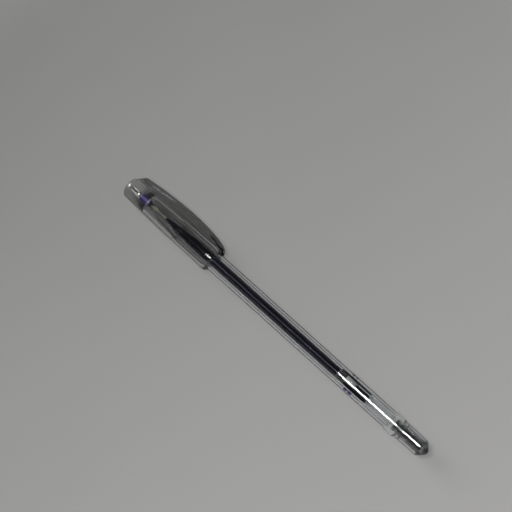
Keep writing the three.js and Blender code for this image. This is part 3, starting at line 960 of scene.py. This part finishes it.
def cap_clip(material):
    """The arched clip, lofted from section to section."""
    stations = [CLIP_ROOT_START + CLIP_START_GAP + (CLIP_CREST - CLIP_ROOT_START) * (step / CLIP_STEPS)
                for step in range(CLIP_STEPS)]
    for step in range(CLIP_STEPS + 1):
        share = math.sin(math.pi / 2 * step / CLIP_STEPS)
        stations.append(CLIP_CREST + (CLIP_TIP - CLIP_END_GAP - CLIP_CREST) * share)
    blade = bmesh.new()
    rings = [[blade.verts.new((station, across, height)) for across, height in clip_section(station)]
             for station in stations]
    for ring, following in zip(rings, rings[1:]):
        for index in range(len(ring)):
            after = (index + 1) % len(ring)
            blade.faces.new([ring[index], ring[after], following[after], following[index]])
    blade.faces.new(rings[0])
    blade.faces.new(reversed(rings[-1]))
    blade.transform(clip_frame())
    mesh = bpy.data.meshes.new("smoky_clip")
    blade.to_mesh(mesh)
    blade.free()
    piece = add_object("smoky_clip", mesh)
    piece.data.materials.append(material)
    tidy(piece)
    piece.data.shade_smooth()
    piece.data.set_sharp_from_angle(angle=math.radians(40))
    return piece


# Prints on the film: plain bars and ticks

def patch(start, end, low, high):
    """A flat patch as a fine grid, drawn as (place along the pen, distance round it), with cut corners."""
    columns, rows = 12, 8
    middle = (low + high) / 2
    shape = bmesh.new()
    grid = []
    for column in range(columns + 1):
        share = column / columns
        pull = PRINT_CORNER * (2 * abs(share - 0.5)) ** 6
        line = []
        for row in range(rows + 1):
            across = low + (high - low) * row / rows
            line.append(shape.verts.new((FRONT + (start + (end - start) * share) * MM,
                                         (middle + (across - middle) * (1 - pull)) * MM, 0)))
        grid.append(line)
    for one, two in zip(grid, grid[1:]):
        for row in range(rows):
            shape.faces.new([one[row], two[row], two[row + 1], one[row + 1]])
    mesh = bpy.data.meshes.new("patch")
    shape.to_mesh(mesh)
    shape.free()
    return mesh


def film_prints():
    """Three dark bars, two dark ticks and two violet bars as thin raised prints.

    Each row says where one starts and ends along the pen, and its lower and upper edge round the film from
    the line that faces the camera.
    """
    toward_camera = math.atan2(-math.cos(VIEW_AZIMUTH) * math.cos(VIEW_ELEVATION), math.sin(VIEW_ELEVATION))
    black = print_ink("black_print", (0.004, 0.004, 0.006))
    violet = print_ink("violet_print", (0.035, 0.03, 0.1))
    drawn = [
        ("bar_above", 87.5, 94.0, 0.55, 1.45, black),
        ("bar_below", 82.8, 94.0, -1.95, -0.6, black),
        ("line_above", 79.4, 94.0, 1.95, 2.65, black),
        ("tick_one", 83.4, 84.6, 3.6, 4.7, black),
        ("tick_two", 85.2, 86.0, 3.6, 4.7, black),
        ("violet_bar_one", 84.2, 85.9, -3.7, -2.4, violet),
        ("violet_bar_two", 86.3, 88.0, -3.7, -2.4, violet),
    ]
    made = []
    for name, start, end, low, high, material in drawn:
        bar = grow("print_" + name, patch(start, end, low, high), PRINTING, {
            "Radius": (FILM_OUTER + PRINT_GAP) * MM, "Thickness": PRINT_THICKNESS * MM,
            "Turn": toward_camera, "Axis Side": AXIS_SIDE, "Axis Height": AXIS_HEIGHT, "Material": material})
        made.append(tidy(bar))
    return made


# Stage

def add_floor():
    """The table. Round the pen its grey deepens towards the cap's end: painted shade for light falling off.
    """
    made = Material("pale_table")
    blotches = made.noise(made.place(), 6, 4.0, 0.6)
    grain = made.noise(made.place(), 420, 5.0, 0.6)
    toward_tail = made.add("ShaderNodeSeparateXYZ", {}, {0: made.place()}, "X")
    from_middle = made.vector("LENGTH", made.place())
    near = made.between(from_middle, FLOOR_FADE_START, FLOOR_FADE_END, 1.0, 0.0)
    # Painted shade: near the pen the grey deepens towards the cap's end, as light falling off would make it.
    slope = toward_tail * PAINTED_FALLOFF_SLOPE - PAINTED_FALLOFF_DROP
    tone = made.between(blotches, 0.3, 0.7) * FLOOR_BLOTCH + FLOOR_SHARE + slope * near
    material = made.surface(
        color=made.mix(tone, (0.185, 0.184, 0.181, 1), (0.365, 0.362, 0.357, 1)),
        roughness=0.45 + grain * 0.15,
        specular=0.3,
        normal=made.bump(grain, 0.00002))
    corners = [(side_x * FLOOR_REACH, side_y * FLOOR_REACH, 0)
               for side_x, side_y in ((-1, -1), (1, -1), (1, 1), (-1, 1))]
    mesh = bpy.data.meshes.new("table")
    mesh.from_pydata(corners, [], [(0, 1, 2, 3)])
    mesh.materials.append(material)
    add_object("table", mesh)


def add_world():
    """A dim room, a little lighter overhead.

    Seen directly, or low down through plastic, it is a pale backdrop.
    """
    world = bpy.data.worlds.new("soft_room")
    world.use_nodes = True
    graph = Graph(world.node_tree)
    world.node_tree.nodes.clear()
    direction = graph.add("ShaderNodeTexCoord", output="Generated")
    upward = graph.add("ShaderNodeSeparateXYZ", {}, {0: direction}, "Z")
    glow = graph.between(upward, 0.0, 0.95, 0.02, 0.04)
    directly = graph.add("ShaderNodeLightPath", output="Is Camera Ray")
    low_down = graph.between(upward, 0.15, 0.5, 1.0, 0.0)
    seen = directly.maths("MAXIMUM", directly.also("Is Transmission Ray") * low_down)
    strength = glow * (1 - seen) + seen * 0.6
    background = graph.add("ShaderNodeBackground", {},
                           {"Color": (1.0, 0.995, 0.985, 1), "Strength": strength})
    graph.add("ShaderNodeOutputWorld", {}, {"Surface": background})
    bpy.context.scene.world = world


def on_axis(station):
    return Vector((FRONT + station * MM, AXIS_SIDE, AXIS_HEIGHT))


def add_softbox(name, station, toward, distance, along, across, radiance):
    """A rectangular softbox that faces a place on the pen, with one side set along the pen."""
    facing = toward.normalized()
    length_way = (Vector((1, 0, 0)) - facing * facing.x).normalized()
    lamp = bpy.data.lights.new(name, "AREA")
    lamp.shape = "RECTANGLE"
    lamp.size = along
    lamp.size_y = across
    lamp.energy = radiance * math.pi * along * across
    made = bpy.data.objects.new(name, lamp)
    made.location = on_axis(station) + facing * distance
    made.rotation_euler = Matrix((length_way, facing.cross(length_way), facing)).transposed().to_euler()
    bpy.context.scene.collection.objects.link(made)
    return made


def add_lamps():
    """Four softboxes.

    A wide one behind the camera lights the scene, and its shadows hide behind the pen. A dim one beyond the
    cap's crown fills in. A narrow one is mirrored by the pen's side towards the tail. A low one makes the
    glints in the crown and adds no light to matt surfaces.
    """
    streak_middle = (LABEL_START + HEAD_START) / 2
    to_camera = (bpy.context.scene.camera.location - on_axis(streak_middle)).normalized()
    mirrored = Vector((-to_camera.x, to_camera.y, to_camera.z))
    add_softbox("wide_box", streak_middle, to_camera, distance=3.2, along=0.8, across=0.8, radiance=28)
    add_softbox("fill_box", CAP_CROWN, FILL_DIRECTION, distance=2.0, along=1.2, across=1.2, radiance=4.2)
    add_softbox("narrow_box", streak_middle + STREAK_SHIFT, mirrored,
                distance=1.2, along=0.121, across=0.3, radiance=45)
    low_box = add_softbox("low_box", CAP_CROWN, GLINT_DIRECTION,
                          distance=1.5, along=0.34, across=0.34, radiance=95)
    low_box.visible_diffuse = False


def add_camera():
    """The camera of the photographed view, aimed so that the pen's middle falls where it is pictured."""
    back = Vector((math.sin(VIEW_AZIMUTH) * math.cos(VIEW_ELEVATION),
                   -math.cos(VIEW_AZIMUTH) * math.cos(VIEW_ELEVATION), math.sin(VIEW_ELEVATION)))
    right = Vector((math.cos(VIEW_AZIMUTH), math.sin(VIEW_AZIMUTH), 0))
    up = back.cross(right)
    pixel = FRAME_WIDTH / FRAME_PIXELS
    aside = (PEN_MIDDLE_PIXEL[0] - FRAME_PIXELS / 2) * pixel
    below = (PEN_MIDDLE_PIXEL[1] - FRAME_PIXELS / 2) * pixel
    aim = Vector((0, AXIS_SIDE, AXIS_HEIGHT)) - right * aside + up * below
    data = bpy.data.cameras.new("camera")
    data.sensor_width = 36
    data.lens = data.sensor_width * CAMERA_DISTANCE / FRAME_WIDTH
    data.clip_start = 0.01
    camera = bpy.data.objects.new("camera", data)
    camera.location = aim + back * CAMERA_DISTANCE
    camera.rotation_euler = back.to_track_quat("Z", "Y").to_euler()
    bpy.context.scene.collection.objects.link(camera)
    bpy.context.scene.camera = camera


add_camera()
add_floor()
add_world()
add_lamps()

scene = bpy.context.scene
scene.view_settings.view_transform = "Standard"
scene.cycles.max_bounces = 32
scene.cycles.transmission_bounces = 32
scene.cycles.transparent_max_bounces = 32
scene.cycles.caustics_refractive = False
scene.cycles.caustics_reflective = False

TURNING = turning_tree()
PRINTING = print_tree()

clear = clear_plastic()
smoke = smoky_plastic()
milky = milky_plastic()

place_piece(barrel_tube(clear), "barrel", "clear_plastic", "barrel_tube")
place_piece(label(label_film()), "barrel", "label_film", "barrel_label")
for bar in film_prints():
    place_piece(bar, "barrel", "label_film")
place_piece(tail_plug(dark_plastic()), "tail", "dark_plastic", "tail_plug")
place_piece(nose_cone(clear_nose_plastic()), "nose", "clear_plastic", "nose_cone")
place_piece(nib_holder(milky_adapter_plastic()), "refill", "tube_plastic", "nib_holder")
place_piece(writing_tip(nickel_silver()), "refill", "nickel_silver", "writing_tip")
place_piece(tip_ball(carbide()), "ball", "ball_metal", "tip_ball")
place_piece(ink_tube(milky), "refill", "tube_plastic", "ink_tube")
place_piece(ink_column(ballpoint_ink()), "refill", "ink", "ink_column")
place_piece(grease_follower(follower_grease()), "refill", "grease", "grease_follower")
place_piece(cap_shell(smoke), "cap", "smoky_plastic", "cap_shell")
place_piece(seal_plug(blue_elastomer()), "cap", "blue_elastomer", "cap_seal_plug")

clip = cap_clip(smoky_clip_plastic())
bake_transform(clip)
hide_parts("cap_clip")
